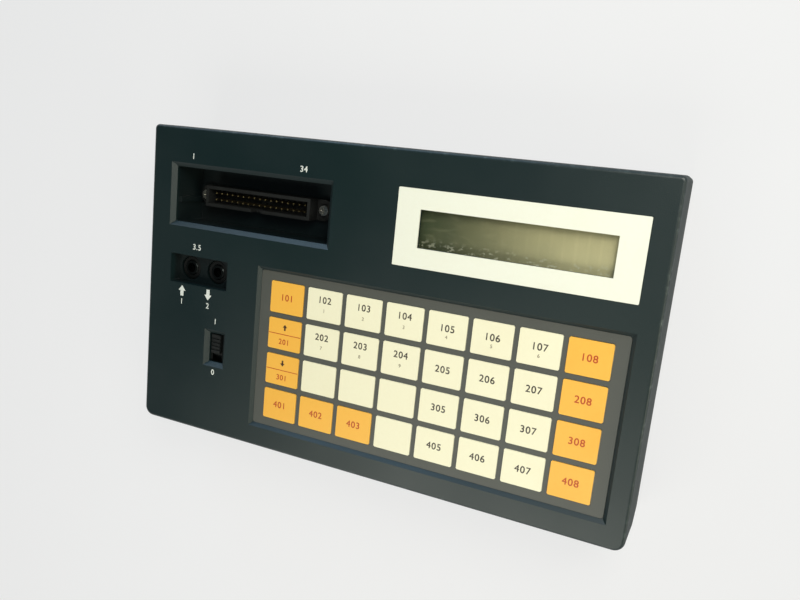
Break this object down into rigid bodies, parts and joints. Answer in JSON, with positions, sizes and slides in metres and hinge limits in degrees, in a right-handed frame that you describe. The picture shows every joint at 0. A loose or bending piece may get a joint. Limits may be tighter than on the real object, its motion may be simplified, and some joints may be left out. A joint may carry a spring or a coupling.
{
  "type": "plc programming terminal",
  "caption": "Hand-held flat programming terminal with a small display, a recessed membrane keypad, an open memory pack bay, cassette jacks and a slide switch.",
  "frame": {"origin": "on the table, under the middle of the case, with the terminal lying on its back", "axes": "+X to the right across the face, +Y towards the display edge, +Z out of the face"},
  "size_m": [0.195, 0.1186, 0.0341],
  "materials": {
    "case_plastic": "finely textured dark grey-green moulding",
    "foot_rubber": "matt black rubber",
    "screw_steel": "zinc plated, slightly dulled",
    "cream_label": "printed pale cream sheet, satin",
    "clear_pane": "clear acrylic",
    "lcd_frame_metal": "black painted steel",
    "lcd_glass": "olive grey liquid crystal cell",
    "elastomer_rubber": "striped contact rubber",
    "display_board": "green solder mask",
    "keypad_sheet": "warm grey printed polyester",
    "spacer_film": "milky polyester film",
    "keypad_board": "green contact board",
    "dome_metal": "pressed stainless steel",
    "ribbon_film": "amber flat cable",
    "main_board": "green solder mask",
    "chip_plastic": "black moulded package",
    "component_case": "sleeved cans and moulded sockets",
    "connector_plastic": "dark moulded shell",
    "bright_screw": "bright nickel",
    "pin_metal": "gold plated",
    "socket_plastic": "black moulded shell",
    "jack_plastic": "black moulded body",
    "bushing_metal": "nickel plated",
    "switch_metal": "darkened steel case",
    "knob_plastic": "black moulded knob",
    "key_cream": "printed pale cream",
    "key_orange": "printed warm orange"
  },
  "bodies": {
    "case": {"front_cover": "case_plastic", "rear_cover": "case_plastic", "rubber_feet": "foot_rubber", "case_screws": "screw_steel", "display_bezel": "cream_label", "display_window": "clear_pane", "lcd_frame": "lcd_frame_metal", "lcd_glass": "lcd_glass", "lcd_elastomers": "elastomer_rubber", "lcd_board": "display_board", "keypad_overlay": "keypad_sheet", "keypad_spacer": "spacer_film", "keypad_backplate": "keypad_board", "key_domes": "dome_metal", "ribbon_cables": "ribbon_film", "main_board": "main_board", "board_screws": "screw_steel", "logic_chips": "chip_plastic", "board_components": "component_case", "pack_connector_shell": "connector_plastic", "pack_connector_screws": "bright_screw", "header_pins": "pin_metal", "cable_socket_shell": "socket_plastic", "ear_jack": "jack_plastic", "mic_jack": "jack_plastic", "jack_bushings": "bushing_metal", "lock_switch_body": "switch_metal"},
    "lock_switch_knob": {"lock_switch_knob": "knob_plastic"},
    "key_row1_col1": {"key_row1_col1": "key_orange"},
    "key_row1_col2": {"key_row1_col2": "key_cream"},
    "key_row1_col3": {"key_row1_col3": "key_cream"},
    "key_row1_col4": {"key_row1_col4": "key_cream"},
    "key_row1_col5": {"key_row1_col5": "key_cream"},
    "key_row1_col6": {"key_row1_col6": "key_cream"},
    "key_row1_col7": {"key_row1_col7": "key_cream"},
    "key_row1_col8": {"key_row1_col8": "key_orange"},
    "key_row2_col1": {"key_row2_col1": "key_orange"},
    "key_row2_col2": {"key_row2_col2": "key_cream"},
    "key_row2_col3": {"key_row2_col3": "key_cream"},
    "key_row2_col4": {"key_row2_col4": "key_cream"},
    "key_row2_col5": {"key_row2_col5": "key_cream"},
    "key_row2_col6": {"key_row2_col6": "key_cream"},
    "key_row2_col7": {"key_row2_col7": "key_cream"},
    "key_row2_col8": {"key_row2_col8": "key_orange"},
    "key_row3_col1": {"key_row3_col1": "key_orange"},
    "key_row3_col2": {"key_row3_col2": "key_cream"},
    "key_row3_col3": {"key_row3_col3": "key_cream"},
    "key_row3_col4": {"key_row3_col4": "key_cream"},
    "key_row3_col5": {"key_row3_col5": "key_cream"},
    "key_row3_col6": {"key_row3_col6": "key_cream"},
    "key_row3_col7": {"key_row3_col7": "key_cream"},
    "key_row3_col8": {"key_row3_col8": "key_orange"},
    "key_row4_col1": {"key_row4_col1": "key_orange"},
    "key_row4_col2": {"key_row4_col2": "key_orange"},
    "key_row4_col3": {"key_row4_col3": "key_orange"},
    "key_row4_col4": {"key_row4_col4": "key_cream"},
    "key_row4_col5": {"key_row4_col5": "key_cream"},
    "key_row4_col6": {"key_row4_col6": "key_cream"},
    "key_row4_col7": {"key_row4_col7": "key_cream"},
    "key_row4_col8": {"key_row4_col8": "key_orange"}
  },
  "joints": [
    {"name": "lock_switch_slide", "type": "slide", "parent": "case", "child": "lock_switch_knob", "axis": [0, -1, 0], "range_m": [0, 0.0034]},
    {"name": "key_row1_col1_press", "type": "slide", "parent": "case", "child": "key_row1_col1", "axis": [0, 0, -1], "range_m": [0, 0.0003], "stiffness_N_per_m": 2500, "springref_m": -0.0001},
    {"name": "key_row1_col2_press", "type": "slide", "parent": "case", "child": "key_row1_col2", "axis": [0, 0, -1], "range_m": [0, 0.0003], "stiffness_N_per_m": 2500, "springref_m": -0.0001},
    {"name": "key_row1_col3_press", "type": "slide", "parent": "case", "child": "key_row1_col3", "axis": [0, 0, -1], "range_m": [0, 0.0003], "stiffness_N_per_m": 2500, "springref_m": -0.0001},
    {"name": "key_row1_col4_press", "type": "slide", "parent": "case", "child": "key_row1_col4", "axis": [0, 0, -1], "range_m": [0, 0.0003], "stiffness_N_per_m": 2500, "springref_m": -0.0001},
    {"name": "key_row1_col5_press", "type": "slide", "parent": "case", "child": "key_row1_col5", "axis": [0, 0, -1], "range_m": [0, 0.0003], "stiffness_N_per_m": 2500, "springref_m": -0.0001},
    {"name": "key_row1_col6_press", "type": "slide", "parent": "case", "child": "key_row1_col6", "axis": [0, 0, -1], "range_m": [0, 0.0003], "stiffness_N_per_m": 2500, "springref_m": -0.0001},
    {"name": "key_row1_col7_press", "type": "slide", "parent": "case", "child": "key_row1_col7", "axis": [0, 0, -1], "range_m": [0, 0.0003], "stiffness_N_per_m": 2500, "springref_m": -0.0001},
    {"name": "key_row1_col8_press", "type": "slide", "parent": "case", "child": "key_row1_col8", "axis": [0, 0, -1], "range_m": [0, 0.0003], "stiffness_N_per_m": 2500, "springref_m": -0.0001},
    {"name": "key_row2_col1_press", "type": "slide", "parent": "case", "child": "key_row2_col1", "axis": [0, 0, -1], "range_m": [0, 0.0003], "stiffness_N_per_m": 2500, "springref_m": -0.0001},
    {"name": "key_row2_col2_press", "type": "slide", "parent": "case", "child": "key_row2_col2", "axis": [0, 0, -1], "range_m": [0, 0.0003], "stiffness_N_per_m": 2500, "springref_m": -0.0001},
    {"name": "key_row2_col3_press", "type": "slide", "parent": "case", "child": "key_row2_col3", "axis": [0, 0, -1], "range_m": [0, 0.0003], "stiffness_N_per_m": 2500, "springref_m": -0.0001},
    {"name": "key_row2_col4_press", "type": "slide", "parent": "case", "child": "key_row2_col4", "axis": [0, 0, -1], "range_m": [0, 0.0003], "stiffness_N_per_m": 2500, "springref_m": -0.0001},
    {"name": "key_row2_col5_press", "type": "slide", "parent": "case", "child": "key_row2_col5", "axis": [0, 0, -1], "range_m": [0, 0.0003], "stiffness_N_per_m": 2500, "springref_m": -0.0001},
    {"name": "key_row2_col6_press", "type": "slide", "parent": "case", "child": "key_row2_col6", "axis": [0, 0, -1], "range_m": [0, 0.0003], "stiffness_N_per_m": 2500, "springref_m": -0.0001},
    {"name": "key_row2_col7_press", "type": "slide", "parent": "case", "child": "key_row2_col7", "axis": [0, 0, -1], "range_m": [0, 0.0003], "stiffness_N_per_m": 2500, "springref_m": -0.0001},
    {"name": "key_row2_col8_press", "type": "slide", "parent": "case", "child": "key_row2_col8", "axis": [0, 0, -1], "range_m": [0, 0.0003], "stiffness_N_per_m": 2500, "springref_m": -0.0001},
    {"name": "key_row3_col1_press", "type": "slide", "parent": "case", "child": "key_row3_col1", "axis": [0, 0, -1], "range_m": [0, 0.0003], "stiffness_N_per_m": 2500, "springref_m": -0.0001},
    {"name": "key_row3_col2_press", "type": "slide", "parent": "case", "child": "key_row3_col2", "axis": [0, 0, -1], "range_m": [0, 0.0003], "stiffness_N_per_m": 2500, "springref_m": -0.0001},
    {"name": "key_row3_col3_press", "type": "slide", "parent": "case", "child": "key_row3_col3", "axis": [0, 0, -1], "range_m": [0, 0.0003], "stiffness_N_per_m": 2500, "springref_m": -0.0001},
    {"name": "key_row3_col4_press", "type": "slide", "parent": "case", "child": "key_row3_col4", "axis": [0, 0, -1], "range_m": [0, 0.0003], "stiffness_N_per_m": 2500, "springref_m": -0.0001},
    {"name": "key_row3_col5_press", "type": "slide", "parent": "case", "child": "key_row3_col5", "axis": [0, 0, -1], "range_m": [0, 0.0003], "stiffness_N_per_m": 2500, "springref_m": -0.0001},
    {"name": "key_row3_col6_press", "type": "slide", "parent": "case", "child": "key_row3_col6", "axis": [0, 0, -1], "range_m": [0, 0.0003], "stiffness_N_per_m": 2500, "springref_m": -0.0001},
    {"name": "key_row3_col7_press", "type": "slide", "parent": "case", "child": "key_row3_col7", "axis": [0, 0, -1], "range_m": [0, 0.0003], "stiffness_N_per_m": 2500, "springref_m": -0.0001},
    {"name": "key_row3_col8_press", "type": "slide", "parent": "case", "child": "key_row3_col8", "axis": [0, 0, -1], "range_m": [0, 0.0003], "stiffness_N_per_m": 2500, "springref_m": -0.0001},
    {"name": "key_row4_col1_press", "type": "slide", "parent": "case", "child": "key_row4_col1", "axis": [0, 0, -1], "range_m": [0, 0.0003], "stiffness_N_per_m": 2500, "springref_m": -0.0001},
    {"name": "key_row4_col2_press", "type": "slide", "parent": "case", "child": "key_row4_col2", "axis": [0, 0, -1], "range_m": [0, 0.0003], "stiffness_N_per_m": 2500, "springref_m": -0.0001},
    {"name": "key_row4_col3_press", "type": "slide", "parent": "case", "child": "key_row4_col3", "axis": [0, 0, -1], "range_m": [0, 0.0003], "stiffness_N_per_m": 2500, "springref_m": -0.0001},
    {"name": "key_row4_col4_press", "type": "slide", "parent": "case", "child": "key_row4_col4", "axis": [0, 0, -1], "range_m": [0, 0.0003], "stiffness_N_per_m": 2500, "springref_m": -0.0001},
    {"name": "key_row4_col5_press", "type": "slide", "parent": "case", "child": "key_row4_col5", "axis": [0, 0, -1], "range_m": [0, 0.0003], "stiffness_N_per_m": 2500, "springref_m": -0.0001},
    {"name": "key_row4_col6_press", "type": "slide", "parent": "case", "child": "key_row4_col6", "axis": [0, 0, -1], "range_m": [0, 0.0003], "stiffness_N_per_m": 2500, "springref_m": -0.0001},
    {"name": "key_row4_col7_press", "type": "slide", "parent": "case", "child": "key_row4_col7", "axis": [0, 0, -1], "range_m": [0, 0.0003], "stiffness_N_per_m": 2500, "springref_m": -0.0001},
    {"name": "key_row4_col8_press", "type": "slide", "parent": "case", "child": "key_row4_col8", "axis": [0, 0, -1], "range_m": [0, 0.0003], "stiffness_N_per_m": 2500, "springref_m": -0.0001}
  ]
}
